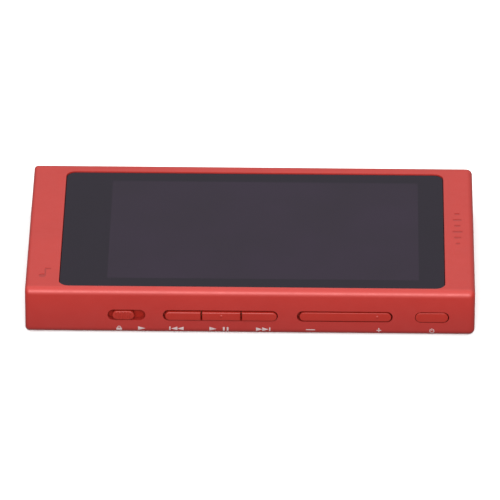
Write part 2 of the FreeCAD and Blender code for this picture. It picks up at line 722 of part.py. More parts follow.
def board_screws():
    return group([pan_screw(x, y, BOARD_BOTTOM, SMALL_SCREW_R, BOARD_SCREW_LENGTH)
                  for x, y in STANDOFFS])


def heat_spreader():
    """A graphite sheet between the processor's shield and the chassis plate."""
    x0, x1, y0, y1 = PROCESSOR_CAN
    return box(x0, x1, y0, y1, CAN_TOP, CHASSIS_BOTTOM)


# ---- main board ----------------------------------------------------------------------------------
def main_board():
    board = box(BOARD_X0, BOARD_X1, BOARD_Y0, BOARD_Y1, BOARD_BOTTOM, BOARD_TOP)
    z0 = BOARD_BOTTOM - OVER
    z1 = BOARD_TOP + OVER
    dock = DOCK_HALF_WIDTH + DOCK_SHELL_WALL + BOARD_CLEAR
    jack_end = JACK_BORE_LENGTH + JACK_BACK - INNER_END + BOARD_CLEAR
    jack_side = JACK_Y + JACK_HALF_WIDTH + BOARD_CLEAR
    tools = [box(-END, jack_end, 2 * JACK_Y - jack_side, jack_side, z0, z1),
             box(-END, BOARD_CORNER_X, JACK_Y, SIDE, z0, z1),
             box(-END, DOCK_DEPTH - INNER_END + BOARD_CLEAR, -dock, dock, z0, z1),
             box(-END, STRAP_NOTCH_X, -SIDE, STRAP_NOTCH_Y, z0, z1)]
    tools += [cylinder(SMALL_SCREW_R, Vector(x, y, z0), Z_AXIS, z1 - z0) for x, y in STANDOFFS]
    return cut(board, tools)


def shield_can(outline):
    """A thin folded metal lid, open below."""
    x0, x1, y0, y1 = outline
    outer = rounded_box(x0, x1, y0, y1, BOARD_TOP, CAN_TOP, CAN_R)
    w = CAN_WALL
    return outer.cut(box(x0 + w, x1 - w, y0 + w, y1 - w, BOARD_TOP - OVER, CAN_TOP - w))


def processor_can():
    return shield_can(PROCESSOR_CAN)


def amplifier_can():
    return shield_can(AMPLIFIER_CAN)


def on_board(x, y, size):
    """A block standing on the main board, by its centre and its three sizes."""
    w, d, h = size
    return box(x - w / 2, x + w / 2, y - d / 2, y + d / 2, BOARD_TOP, BOARD_TOP + h)


def board_chips():
    """Processor, memory, power and amplifier packages."""
    return group([on_board(x, y, (w, d, h)) for x, y, w, d, h in CHIPS])


def board_capacitors():
    """A row and a column of small chip capacitors, and two larger polymer ones."""
    row = CAPACITOR_ROW
    column = CAPACITOR_COLUMN
    parts = [on_board(row["x"] + row["pitch"] * i, row["y"], CHIP_CAPACITOR) for i in range(row["count"])]
    parts += [on_board(column["x"], column["y"] + column["pitch"] * i, CHIP_CAPACITOR)
              for i in range(column["count"])]
    parts += [on_board(x, POLYMER_Y, POLYMER_CAPACITOR) for x in POLYMER_X]
    return group(parts)


def amplifier_coils():
    """Four wound output inductors beside the amplifier."""
    coils = [on_board(x, COIL_Y, COIL_SIZE) for x in COIL_X]
    return group([c.makeFillet(SHEET_R, [e for e in c.Edges if along(e, Z_AXIS)]) for c in coils])


def board_crystals():
    return group([on_board(CRYSTAL_X, y, CRYSTAL_SIZE) for y in CRYSTAL_Y])


def board_connectors():
    """Flex-cable connectors for the screen and touch film on top, and for the keys underneath."""
    x0, x1 = FLEX_CONNECTOR_X
    m = FLEX_CONNECTOR_MARGIN
    parts = [box(x0, x1, y0 - m, y1 + m, BOARD_TOP, FLEX_BOARD_Z - FLEX_THICK / 2)
             for y0, y1 in (LCD_FLEX_Y, TOUCH_FLEX_Y)]
    x0, x1, y0, y1 = KEY_CONNECTOR
    parts.append(box(x0, x1, y0, y1, KEY_FLEX_Z0 + FLEX_THICK, BOARD_BOTTOM))
    return group(parts)


# ---- battery -------------------------------------------------------------------------------------
def battery_cell():
    cell = rounded_box(BATTERY_X0, BATTERY_X1, -BATTERY_Y, BATTERY_Y, BATTERY_BOTTOM, BATTERY_TOP, BATTERY_R)
    rims = [e for e in cell.Edges if e.BoundBox.ZLength < SAME]
    return cell.makeFillet(BATTERY_EDGE_R, rims)


def battery_board():
    return box(BATTERY_X0 - CELL_BOARD_THICK, BATTERY_X0, BATTERY_EDGE_R - BATTERY_Y, CELL_BOARD_Y1,
               CELL_BOARD_BOTTOM, CELL_BOARD_TOP)


def battery_tape():
    """Two strips of double-sided tape that hold the cell to the chassis plate."""
    return group([box(BATTERY_X0 + TAPE_MARGIN, BATTERY_X1 - TAPE_MARGIN, y - TAPE_HALF, y + TAPE_HALF,
                      BATTERY_TOP, CHASSIS_BOTTOM) for y in (-TAPE_Y, TAPE_Y)])


def battery_wires():
    """Three insulated leads from the plug, over the board's edge and down to the cell's own board."""
    wires = []
    x_down = BATTERY_X0 - CELL_BOARD_THICK / 2
    bend = WIRE_BEND_R
    for y in WIRE_Y:
        start = Vector(PLUG_X1, y, WIRE_Z)
        corner = Vector(x_down, y, WIRE_Z)
        inward = bend * (1 - math.cos(math.pi / 4))
        turn = Vector(x_down - inward, y, WIRE_Z - inward)
        arc = Part.Arc(corner - X_AXIS * bend, turn, corner - Z_AXIS * bend)
        finish = Vector(x_down, y, CELL_BOARD_TOP)
        path = Part.Wire([Part.LineSegment(start, corner - X_AXIS * bend).toShape(), arc.toShape(),
                          Part.LineSegment(corner - Z_AXIS * bend, finish).toShape()])
        ring = Part.Wire([Part.makeCircle(WIRE_R, start, X_AXIS)])
        wires.append(path.makePipeShell([ring], True, False))
    return group(wires)


def battery_socket():
    m = SOCKET_MARGIN
    return box(PLUG_X0, PLUG_X1, WIRE_Y[0] - m, WIRE_Y[-1] + m, BOARD_TOP, PLUG_SEAM_Z)


def battery_plug():
    m = PLUG_MARGIN
    return rounded_box(PLUG_X0 + PLUG_EDGE_R, PLUG_X1, WIRE_Y[0] - m, WIRE_Y[-1] + m,
                       PLUG_SEAM_Z, PLUG_TOP, PLUG_EDGE_R)


# ---- headphone jack ------------------------------------------------------------------------------
def jack_windows():
    w = JACK_CONTACT_WIDTH / 2
    return [box(x - w, x + w, JACK_Y - w, JACK_Y + w, PORT_Z, HEIGHT) for x in JACK_CONTACT_X]


def headphone_jack():
    x1 = JACK_BORE_LENGTH - INNER_END + JACK_BACK
    body = rounded_box(-INNER_END, x1, JACK_Y - JACK_HALF_WIDTH, JACK_Y + JACK_HALF_WIDTH,
                       PORT_Z - JACK_HALF_HEIGHT, PORT_Z + JACK_HALF_HEIGHT, CAN_R, X_AXIS)
    bore = cylinder(JACK_BORE_R, Vector(-END, JACK_Y, PORT_Z), X_AXIS, END - INNER_END + JACK_BORE_LENGTH)
    return cut(body, [bore] + jack_windows())


def jack_contacts():
    """Spring leaves in the jack's windows, clear of the bore, with tails over its top."""
    w = JACK_CONTACT_WIDTH / 2 - CLEAR
    leaves = []
    for x in JACK_CONTACT_X:
        leaves.append(box(x - w, x + w, JACK_Y - w, JACK_Y + w, PORT_Z + JACK_BORE_R + JACK_CONTACT_GAP,
                          PORT_Z + JACK_HALF_HEIGHT))
    return group(leaves)


def jack_ring():
    """The metal trim ring round the jack's mouth."""
    x0 = JACK_RING_DROP - END
    length = END - JACK_RING_DROP - INNER_END
    ring = cylinder(JACK_RING_R, Vector(x0, JACK_Y, PORT_Z), X_AXIS, length)
    mouth = [e for e in ring.Edges if e.BoundBox.XMax < x0 + length / 2]
    ring = ring.makeFillet(PORT_EDGE_R, mouth)
    return ring.cut(cylinder(JACK_BORE_R, Vector(-END, JACK_Y, PORT_Z), X_AXIS, END))


# ---- dock port -----------------------------------------------------------------------------------
def dock_shell():
    w = DOCK_SHELL_WALL
    x1 = DOCK_DEPTH - INNER_END
    inner = rounded_box(-END, x1 - DOCK_BACK, -DOCK_HALF_WIDTH, DOCK_HALF_WIDTH, PORT_Z - DOCK_HALF_HEIGHT,
                        PORT_Z + DOCK_HALF_HEIGHT, DOCK_R, X_AXIS)
    outer = rounded_box(-INNER_END, x1, -DOCK_HALF_WIDTH - w, DOCK_HALF_WIDTH + w,
                        PORT_Z - DOCK_HALF_HEIGHT - w, PORT_Z + DOCK_HALF_HEIGHT + w, DOCK_R + w, X_AXIS)
    return outer.cut(inner)


def dock_tongue():
    half = DOCK_TONGUE_THICK / 2
    tongue = box(DOCK_TONGUE_DROP - INNER_END, DOCK_DEPTH - DOCK_BACK - INNER_END,
                 -DOCK_TONGUE_HALF, DOCK_TONGUE_HALF, PORT_Z - half, PORT_Z + half)
    front = [e for e in tongue.Edges if along(e, Y_AXIS) and e.BoundBox.XMax < DOCK_TONGUE_THICK - INNER_END]
    return tongue.makeFillet(PORT_EDGE_R, front)


def dock_contacts():
    """A row of gold contacts on the tongue."""
    z0 = PORT_Z + DOCK_TONGUE_THICK / 2
    width, rise = DOCK_CONTACT
    contacts = []
    for i in range(DOCK_CONTACTS):
        y = DOCK_PITCH * (i - (DOCK_CONTACTS - 1) / 2)
        contacts.append(box(DOCK_CONTACT_DROP - INNER_END, DOCK_DEPTH - DOCK_BACK - INNER_END,
                            y - width / 2, y + width / 2, z0, z0 + rise))
    return group(contacts)


def strap_post():
    """The metal post behind the strap opening, held between the ledge and the chassis plate."""
    at = Vector(STRAP_POST_X, STRAP_Y, FLOOR_Z)
    return fuse([cylinder(STRAP_POST_R, at, Z_AXIS, CHASSIS_BOTTOM - FLOOR_Z),
                 cylinder(STRAP_FOOT_R, at, Z_AXIS, STRAP_FOOT)])


# ---- memory card ---------------------------------------------------------------------------------
def card_socket_base():
    return box(CARD_X - SOCKET_HALF, CARD_X + SOCKET_HALF, SOCKET_Y0, SOCKET_Y1, BOARD_TOP,
               BOARD_TOP + SOCKET_BASE)


def card_socket():
    """The socket's folded metal shell, open towards the far side."""
    z0 = BOARD_TOP + SOCKET_BASE
    w = CAN_WALL
    shell = box(CARD_X - SOCKET_HALF, CARD_X + SOCKET_HALF, SOCKET_Y0, SOCKET_Y1, z0, SOCKET_TOP)
    inside = box(CARD_X - SOCKET_HALF + w, CARD_X + SOCKET_HALF - w, SOCKET_Y0 + w, SOCKET_Y1 + OVER,
                 z0 - OVER, SOCKET_TOP - w)
    return shell.cut(inside)


def card_contacts():
    z0 = BOARD_TOP + SOCKET_BASE
    y0 = SOCKET_Y0 + CARD_CONTACT_DROP
    width, length, rise = CARD_CONTACT
    contacts = []
    for i in range(CARD_CONTACTS):
        x = CARD_X + CARD_PITCH * (i - (CARD_CONTACTS - 1) / 2)
        contacts.append(box(x - width / 2, x + width / 2, y0, y0 + length, z0, z0 + rise))
    return group(contacts)


def card_cover():
    """The hinged door flush with the far side: a rounded hinge barrel, a leaf, two pins and a finger lip."""
    half = CARD_OPENING / 2 - CARD_COVER_GAP
    top = CARD_OPENING_Z1 - CARD_COVER_GAP
    y_in = SIDE - CARD_COVER_THICK
    barrel = cylinder(CARD_BARREL_R, Vector(CARD_X - half, CARD_HINGE_Y, CARD_HINGE_Z), X_AXIS, 2 * half)
    leaf = box(CARD_X - half, CARD_X + half, y_in, SIDE, CARD_HINGE_Z, top)
    edges = [e for e in leaf.Edges if along(e, X_AXIS) and e.BoundBox.ZMin > CARD_HINGE_Z + 1
             and e.BoundBox.YMin > y_in + CARD_EDGE_R]
    leaf = leaf.makeFillet(CARD_EDGE_R, edges)
    reach = CARD_OPENING / 2 + CARD_PIN_LENGTH
    pins = cylinder(CARD_PIN_R, Vector(CARD_X - reach, CARD_HINGE_Y, CARD_HINGE_Z), X_AXIS, 2 * reach)
    grip = CARD_LIP_WIDTH / 2
    notch = rounded_box(CARD_X - grip, CARD_X + grip, SIDE - CARD_LIP_DEPTH, SIDE + OVER,
                        top - CARD_LIP_HEIGHT, top + OVER, CARD_EDGE_R, Y_AXIS)
    return cut(fuse([barrel, leaf, pins]), [notch])


# ---- keys ----------------------------------------------------------------------------------------
def flange_and_nub(flange_x0, flange_x1, nub_x):
    """The wider flange behind the wall and the nub that presses a dome."""
    return [box(flange_x0, flange_x1, FLANGE_FRONT, FLANGE_BACK, KEY_Z - FLANGE_HALF, KEY_Z + FLANGE_HALF),
            cylinder(NUB_R, Vector(nub_x, FLANGE_BACK, KEY_Z), Y_AXIS, NUB_BACK - FLANGE_BACK)]


def tactile_dot(x, fit):
    """A raised dot on a cap's face, rounded in front."""
    y_front = -SIDE - fit["proud"]
    radius = (TACTILE_DOT_R ** 2 + TACTILE_DOT_RISE ** 2) / (2 * TACTILE_DOT_RISE)
    ball = Part.makeSphere(radius, Vector(x, y_front - TACTILE_DOT_RISE + radius, KEY_Z))
    reach = 2 * TACTILE_DOT_R
    return ball.common(box(x - reach, x + reach, y_front - reach, y_front + EMBED,
                           KEY_Z - reach, KEY_Z + reach))


def transport_spans():
    """Cap ends and roundness of the three keys that share a slot."""
    edges = (TRANSPORT_X0,) + TRANSPORT_SPLITS + (TRANSPORT_X1,)
    half_gap = KEY_SPLIT_GAP / 2
    flange_gap = FLANGE_SPLIT_GAP / 2
    last = len(edges) - 2
    spans = []
    for i in range(len(edges) - 1):
        first = i == 0
        final = i == last
        spans.append({"x0": edges[i] + (TRANSPORT_FIT["left"] if first else half_gap),
                      "x1": edges[i + 1] - (TRANSPORT_FIT["right"] if final else half_gap),
                      "left": first, "right": final,
                      "flange_x0": edges[i] + (-FLANGE_OVERLAP if first else flange_gap),
                      "flange_x1": edges[i + 1] + (FLANGE_OVERLAP if final else -flange_gap),
                      "nub": (edges[i] + edges[i + 1]) / 2})
    return spans


def transport_key(index, dots=()):
    s = transport_spans()[index]
    cap = key_cap(s["x0"], s["x1"], TRANSPORT_FIT, FLANGE_FRONT, KEY_EDGE_R, s["left"], s["right"])
    return fuse([cap] + flange_and_nub(s["flange_x0"], s["flange_x1"], s["nub"]) + list(dots))


def previous_key():
    return transport_key(0)


def play_key():
    """The middle key, with a raised dot that a finger can find."""
    return transport_key(1, [tactile_dot(transport_spans()[1]["nub"], TRANSPORT_FIT)])


def next_key():
    return transport_key(2)


def power_key():
    cap = key_cap(POWER_X0 + POWER_FIT["left"], POWER_X1 - POWER_FIT["right"], POWER_FIT, FLANGE_FRONT,
                  FLUSH_KEY_EDGE_R)
    return fuse([cap] + flange_and_nub(POWER_X0 - FLANGE_OVERLAP, POWER_X1 + FLANGE_OVERLAP,
                                       (POWER_X0 + POWER_X1) / 2))


def volume_key():
    """A rocker: one long cap on a rounded rib, with a nub for each dome and a lip behind each end's gap."""
    middle = (VOLUME_X0 + VOLUME_X1) / 2
    cap = key_cap(VOLUME_X0 + VOLUME_FIT["left"], VOLUME_X1 - VOLUME_FIT["right"], VOLUME_FIT, FLANGE_BACK,
                  FLUSH_KEY_EDGE_R)
    flange = box(middle - VOLUME_FLANGE_HALF, middle + VOLUME_FLANGE_HALF, VOLUME_FLANGE_FRONT, FLANGE_BACK,
                 KEY_Z - FLANGE_HALF, KEY_Z + FLANGE_HALF)
    z0 = KEY_Z - FLANGE_HALF
    rib = box(middle - PIVOT_R, middle + PIVOT_R, FLANGE_BACK, PIVOT_Y, z0, z0 + 2 * FLANGE_HALF)
    tip = cylinder(PIVOT_R, Vector(middle, PIVOT_Y, z0), Z_AXIS, 2 * FLANGE_HALF)
    nubs = [cylinder(NUB_R, Vector(middle + dx, FLANGE_BACK, KEY_Z), Y_AXIS, NUB_BACK - FLANGE_BACK)
            for dx in (-VOLUME_NUB, VOLUME_NUB)]
    ends = (VOLUME_X0 - VOLUME_LIP_REACH, VOLUME_X1 + VOLUME_LIP_REACH - VOLUME_LIP_LENGTH)
    lips = [box(x, x + VOLUME_LIP_LENGTH, VOLUME_LIP_FRONT, FLANGE_BACK, KEY_Z - VOLUME_LIP_HALF,
                KEY_Z + VOLUME_LIP_HALF) for x in ends]
    dot = tactile_dot(middle + VOLUME_NUB, VOLUME_FIT)
    return fuse([cap, flange, rib, tip, dot] + lips + nubs)


def dome_places():
    volume = (VOLUME_X0 + VOLUME_X1) / 2
    return [s["nub"] for s in transport_spans()] + [volume - VOLUME_NUB, volume + VOLUME_NUB,
                                                    (POWER_X0 + POWER_X1) / 2]


def dome(x):
    """A snap dome: a thin spherical cap whose rim sits on the key flex."""
    rise = KEY_FLEX_FRONT - NUB_BACK - DOME_GAP
    radius = (DOME_R ** 2 + rise ** 2) / (2 * rise)
    centre = Vector(x, KEY_FLEX_FRONT - rise + radius, KEY_Z)
    shell = Part.makeSphere(radius, centre).cut(Part.makeSphere(radius - DOME_THICK, centre))
    reach = DOME_R + OVER
    return shell.common(box(x - reach, x + reach, KEY_FLEX_FRONT - reach, KEY_FLEX_FRONT,
                            KEY_Z - reach, KEY_Z + reach))


def key_domes():
    return group([dome(x) for x in dome_places()])


def key_flex():
    """The strip behind the domes, with a tail that runs under the main board."""
    strip = box(BRACKET_X0, BRACKET_X1, KEY_FLEX_FRONT, KEY_FLEX_BACK, KEY_FLEX_Z0, KEY_FLEX_Z1)
    x0, x1, _, y1 = KEY_CONNECTOR
    m = KEY_TAIL_MARGIN
    tail = box(x0 - m, x1 + m, KEY_FLEX_FRONT, y1 + m, KEY_FLEX_Z0, KEY_FLEX_Z0 + FLEX_THICK)
    return fuse([strip, tail])


def key_bracket():
    """The stiff plate behind the flex, with tabs screwed up into the chassis plate."""
    plate = box(BRACKET_X0, BRACKET_X1, KEY_FLEX_BACK, BRACKET_BACK, BRACKET_Z0, CHASSIS_BOTTOM)
    tabs = [box(x - BRACKET_TAB_HALF, x + BRACKET_TAB_HALF, KEY_FLEX_BACK, BRACKET_TAB_Y,
                CHASSIS_BOTTOM - BRACKET_TAB_THICK, CHASSIS_BOTTOM) for x in BRACKET_TAB_X]
    holes = [cylinder(SMALL_SCREW_R, Vector(x, BRACKET_SCREW_Y, 0), Z_AXIS, HEIGHT) for x in BRACKET_TAB_X]
    return cut(fuse([plate] + tabs), holes)


def bracket_screws():
    return group([pan_screw(x, BRACKET_SCREW_Y, CHASSIS_BOTTOM - BRACKET_TAB_THICK, SMALL_SCREW_R,
                            BRACKET_SCREW_LENGTH) for x in BRACKET_TAB_X])


# ---- hold slider ---------------------------------------------------------------------------------
def hold_knob():
    """The ribbed thumb piece that slides in its slot."""
    pieces = [key_cap(HOLD_KNOB_X0, HOLD_KNOB_X1, HOLD_FIT, FLANGE_FRONT, HOLD_EDGE_R)]
    middle = (HOLD_KNOB_X0 + HOLD_KNOB_X1) / 2
    front = -SIDE - HOLD_FIT["proud"] - HOLD_RIB_RISE
    for i in range(HOLD_RIBS):
        x = middle + (i - (HOLD_RIBS - 1) / 2) * HOLD_RIB_PITCH
        half = HOLD_RIB_WIDTH / 2
        rib = box(x - half, x + half, front, front + 2 * HOLD_RIB_RISE,
                  KEY_Z - HOLD_RIB_HALF, KEY_Z + HOLD_RIB_HALF)
        pieces.append(soften_front(rib, front, HOLD_RIB_R))
    return fuse(pieces)


def hold_lever():
    """The plate behind the wall that carries the knob and forks the switch's slider."""
    plate = box(HOLD_LEVER_X0, HOLD_LEVER_X1, FLANGE_FRONT, FLANGE_BACK,
                KEY_Z - FLANGE_HALF, KEY_Z + FLANGE_HALF)
    middle = (HOLD_KNOB_X0 + HOLD_KNOB_X1) / 2
    prongs = []
    for side in (-1, 1):
        near = middle + side * (SLIDER_HALF + PRONG_GAP)
        far = near + side * PRONG_WIDTH
        prongs.append(box(min(near, far), max(near, far), FLANGE_BACK, PRONG_BACK,
                          SLIDER_Z0 - CLEAR, SLIDER_Z1 + CLEAR))
    return fuse([plate] + prongs)


def switch_slider():
    middle = (HOLD_KNOB_X0 + HOLD_KNOB_X1) / 2
    return box(middle - SLIDER_HALF, middle + SLIDER_HALF, SLIDER_FRONT, SLIDER_BACK, SLIDER_Z0, SLIDER_Z1)


def hold_switch():
    """The slide switch on the main board's near edge."""
    middle = (HOLD_KNOB_X0 + HOLD_KNOB_X1) / 2
    x0 = middle - SLIDER_HALF
    x1 = middle + SLIDER_HALF + HOLD_TRAVEL
    body = box(x0 - SWITCH_MARGIN, x1 + SWITCH_MARGIN, SWITCH_FRONT, SWITCH_BACK, BOARD_TOP, SWITCH_TOP)
    track = box(x0 - SWITCH_TRACK_GAP, x1 + SWITCH_TRACK_GAP, SWITCH_FRONT - OVER, SWITCH_TRACK_BACK,
                SLIDER_Z0 - CLEAR / 2, SLIDER_Z1 + CLEAR / 2)
    return body.cut(track)


# ---- radio parts ---------------------------------------------------------------------------------
def nfc_coil():
    """Flat turns of a contactless coil on the back cover, joined by one crossing lead."""
    z0 = FLOOR_Z
    z1 = FLOOR_Z + NFC_THICK
    turns = []
    for i in range(NFC_TURNS):
        d = NFC_PITCH * i
        e = d + NFC_TRACK
        outer = rounded_box(NFC_X0 + d, NFC_X1 - d, d - NFC_HALF, NFC_HALF - d, z0, z1, NFC_R)
        inner = rounded_box(NFC_X0 + e, NFC_X1 - e, e - NFC_HALF, NFC_HALF - e,
                            z0 - OVER, z1 + OVER, NFC_R - NFC_TRACK)
        turns.append(outer.cut(inner))
    lead_end = NFC_X0 + NFC_PITCH * (NFC_TURNS - 1) + NFC_TRACK / 2
    turns.append(box(NFC_X0 + NFC_TRACK / 2, lead_end, -NFC_TRACK, NFC_TRACK, z0, z1))
    return fuse(turns)


def ferrite_sheet():
    m = FERRITE_MARGIN
    z0 = FLOOR_Z + NFC_THICK
    return rounded_box(NFC_X0 - m, NFC_X1 + m, -NFC_HALF - m, NFC_HALF + m, z0, z0 + FERRITE_THICK, SHEET_R)


def radio_antenna():
    """The radio's antenna on a plastic block at the top end."""
    return rounded_box(*ANTENNA, CAN_R)


def antenna_cable():
    """A thin coaxial lead along the far side, from the antenna to the main board."""
    x0 = BOARD_X1 - 2 * LEAD_PLUG_R
    lead = cylinder(LEAD_R, Vector(x0, LEAD_Y, LEAD_Z), X_AXIS, ANTENNA[0] - x0)
    plug = cylinder(LEAD_PLUG_R, Vector(x0, LEAD_Y, BOARD_TOP), Z_AXIS, LEAD_Z + LEAD_R - BOARD_TOP)
    return fuse([lead, plug])


SUB_PARTS = (
    front_frame, rear_cover, cover_screws,
    cover_glass, mask_layer, glass_adhesive, touch_film, lcd_panel, lcd_backlight, lcd_cushion,
    lcd_flex, touch_flex,
    chassis_plate, chassis_screws, board_screws, heat_spreader,
    main_board, processor_can, amplifier_can, board_chips, board_capacitors, amplifier_coils, board_crystals,
    board_connectors,
    battery_cell, battery_board, battery_tape, battery_wires, battery_socket, battery_plug,
    headphone_jack, jack_contacts, jack_ring, dock_shell, dock_tongue, dock_contacts, strap_post,
    card_socket_base, card_socket, card_contacts, card_cover,
    previous_key, play_key, next_key, volume_key, power_key, key_domes, key_flex, key_bracket, bracket_screws,
    hold_knob, hold_lever, switch_slider, hold_switch,
    nfc_coil, ferrite_sheet, radio_antenna, antenna_cable,
)


def main():
    os.makedirs("parts", exist_ok=True)
    for build in SUB_PARTS:
        shape = build()
        shape.exportStep(os.path.join("parts", build.__name__ + ".step"))
        print(f"{build.__name__}: {len(shape.Solids)} solids, {shape.Volume:.2f} mm3")


main()
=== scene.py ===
"""The looks of a slim touch-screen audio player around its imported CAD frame. Metres throughout.

The player lies on its back: +X runs along its length, -Y is the side with the keys, +Z is the screen side.
"""

import bmesh
import bpy
import json
import math
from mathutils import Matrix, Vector

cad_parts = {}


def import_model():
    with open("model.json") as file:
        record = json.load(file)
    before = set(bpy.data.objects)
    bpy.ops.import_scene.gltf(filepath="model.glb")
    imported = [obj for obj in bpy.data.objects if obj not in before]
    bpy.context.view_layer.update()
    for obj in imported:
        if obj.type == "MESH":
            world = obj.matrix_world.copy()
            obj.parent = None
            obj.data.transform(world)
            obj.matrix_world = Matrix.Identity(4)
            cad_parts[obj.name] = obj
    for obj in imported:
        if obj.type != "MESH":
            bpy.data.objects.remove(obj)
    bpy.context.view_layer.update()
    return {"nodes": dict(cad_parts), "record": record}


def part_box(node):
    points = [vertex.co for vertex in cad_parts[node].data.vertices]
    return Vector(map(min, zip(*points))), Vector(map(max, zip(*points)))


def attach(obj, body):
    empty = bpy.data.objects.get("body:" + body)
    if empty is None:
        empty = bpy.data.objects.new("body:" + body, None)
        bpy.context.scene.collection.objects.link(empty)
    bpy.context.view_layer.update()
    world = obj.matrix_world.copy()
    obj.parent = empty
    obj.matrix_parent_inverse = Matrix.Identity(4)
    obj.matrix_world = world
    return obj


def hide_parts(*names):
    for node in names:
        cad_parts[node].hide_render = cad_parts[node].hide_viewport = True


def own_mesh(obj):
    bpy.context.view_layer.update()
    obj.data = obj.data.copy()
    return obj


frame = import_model()
NODES = frame["nodes"]
MM = 0.001

# ---- places read from the frame --------------------------------------------------------------------
CASE_LOW, CASE_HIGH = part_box("front_frame")
SIDE_Y = CASE_LOW.y
TOP_Z = CASE_HIGH.z
BOTTOM_R = 1.4 * MM      # the rounding below the near side
MARK_DEPTH = 0.08 * MM   # how far the marks are sunk into the front face
PANEL_LOW, PANEL_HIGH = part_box("lcd_panel")
# the picture's window inside the panel's outline: margins at the bottom end, the top end and both sides
WINDOW_MARGINS = {"bottom_end": 4.8 * MM, "top_end": 1.6 * MM, "side": 1.0 * MM}
WINDOW = ((PANEL_LOW.x + WINDOW_MARGINS["bottom_end"], PANEL_LOW.y + WINDOW_MARGINS["side"]),
          (PANEL_HIGH.x - WINDOW_MARGINS["top_end"], PANEL_HIGH.y - WINDOW_MARGINS["side"]))

# ---- colours ---------------------------------------------------------------------------------------
CASE_RED = (0.320, 0.0165, 0.0112)
CASE_RED_SHADE = (0.304, 0.0150, 0.0100)
WORN_RED = (0.45, 0.085, 0.070)
MARK_RED = (0.230, 0.0120, 0.0090)
# painted shade: the darker red that the case's sides turn to towards the bottom
CASE_PAINTED_SHADE_RED = (0.245, 0.0128, 0.0098)
KEY_RED = (0.275, 0.0130, 0.0070)
KEY_RED_SHADE = (0.255, 0.0118, 0.0062)
# painted shade: the darker red that the keys turn to towards the bottom
KEY_PAINTED_SHADE_RED = (0.232, 0.0112, 0.0062)
# painted shade: the hold lever's red is a darker copy of the key red, standing in for the shade inside the
# hold slot
LEVER_PAINTED_SHADE_RED = (0.225, 0.0090, 0.0046)
LEVER_PAINTED_SHADE_RED_TONE = (0.205, 0.0080, 0.0040)
LEGEND_GREY = (0.40, 0.31, 0.31)
LEGEND_GREY_SHADE = (0.33, 0.25, 0.25)
DISPLAY_DARK = (0.0092, 0.0044, 0.0122)
DISPLAY_LIGHT = (0.0112, 0.0052, 0.0150)
PRINT_DARK = (0.0032, 0.0010, 0.0058)
PRINT_LIGHT = (0.0042, 0.0014, 0.0076)
FLOOR_TONE = (0.80, 0.80, 0.80)
FLOOR_TONE_SHADE = (0.82, 0.82, 0.82)
# the heights between which painted shade deepens the tone of the case's sides and the keys towards the bottom
CASE_PAINTED_SHADE_HEIGHTS = (0.8 * MM, 9.0 * MM)
KEY_PAINTED_SHADE_HEIGHTS = (3.4 * MM, 5.8 * MM)

# ---- legends and domes -----------------------------------------------------------------------------
INK_RISE = 0.006 * MM
INK_THICK = 0.03 * MM
INK_ROW = 0.08 * MM      # spacing of the cuts that let the ink follow the rounding
LEGEND_HEIGHT = 1.15
LEGEND_DROP = 0.12 * MM  # how far below the rounding's start a legend's middle lies

# ---- light and camera ------------------------------------------------------------------------------
LIGHT_DISTANCE = 5.0
FRONT_LIGHT = {"elevation": 34, "size": (4.0, 1.4), "power": 268.0}
FILL_LIGHT = {"elevation": 14, "size": (4.5, 3.0), "power": 80.0}
# strengths of the surroundings below the horizon, above it and overhead, with the two bands between them,
# each given by the sines of the elevations where it starts and ends
GROUND_LIGHT = 0.36
WORLD_LIGHT = 0.40
DOME_LIGHT = 1.85
HORIZON = (-0.15, 0.1)
DOME_EDGE = (0.51, 0.62)
FLOOR_HALF = 6.0
FLOOR_DROP = 0.02 * MM
CAMERA_AZIMUTH = 0.690
CAMERA_ELEVATION = 29.82
CAMERA_ROLL = 0.169
CAMERA_DISTANCE = 1.590
CAMERA_LENS = 521.5
CAMERA_ASIDE = -0.348 * MM
CAMERA_LOWER = -0.322 * MM


# ---- objects ---------------------------------------------------------------------------------------
def in_scene(name, data):
    """A new object that holds the data, linked to the scene."""
    piece = bpy.data.objects.new(name, data)
    bpy.context.scene.collection.objects.link(piece)
    return piece


def from_bmesh(name, mesh):
    data = bpy.data.meshes.new(name)
    mesh.to_mesh(data)
    mesh.free()
    return in_scene(name, data)


# ---- shader helpers --------------------------------------------------------------------------------
EVEN = (1, 1, 1)
NOISE_SPAN = (0.3, 0.7)  # the noise texture's values lie mostly in here


def new_material(name, metallic=0.0, **constants):
    """A node material around one Principled shader; constants are set on the shader's own sockets."""
    material = bpy.data.materials.new(name)
    material.use_nodes = True
    shader = material.node_tree.nodes["Principled BSDF"]
    shader.inputs["Metallic"].default_value = metallic
    for socket, value in constants.items():
        shader.inputs[socket.replace("_", " ")].default_value = value
    return material, material.node_tree, shader


def object_point(tree):
    found = tree.nodes.get("place") or tree.nodes.new("ShaderNodeTexCoord")
    found.name = "place"
    return found.outputs["Object"]


def coordinates(tree):
    """The X, Y and Z sockets of the point that is shaded."""
    split = tree.nodes.new("ShaderNodeSeparateXYZ")
    tree.links.new(object_point(tree), split.inputs["Vector"])
    return split.outputs


def noise(tree, size, detail=2.0, stretch=EVEN):
    """A noise value whose grains are about size across, stretched along the axes."""
    mapping = tree.nodes.new("ShaderNodeMapping")
    mapping.inputs["Scale"].default_value = [1 / s for s in stretch]
    tree.links.new(object_point(tree), mapping.inputs["Vector"])
    texture = tree.nodes.new("ShaderNodeTexNoise")
    texture.inputs["Scale"].default_value = 1 / size
    texture.inputs["Detail"].default_value = detail
    tree.links.new(mapping.outputs["Vector"], texture.inputs["Vector"])
    return texture.outputs["Fac"]


def remap(tree, value, from_range, to_range):
    node = tree.nodes.new("ShaderNodeMapRange")
    node.inputs["From Min"].default_value, node.inputs["From Max"].default_value = from_range
    node.inputs["To Min"].default_value, node.inputs["To Max"].default_value = to_range
    tree.links.new(value, node.inputs["Value"])
    return node.outputs["Result"]


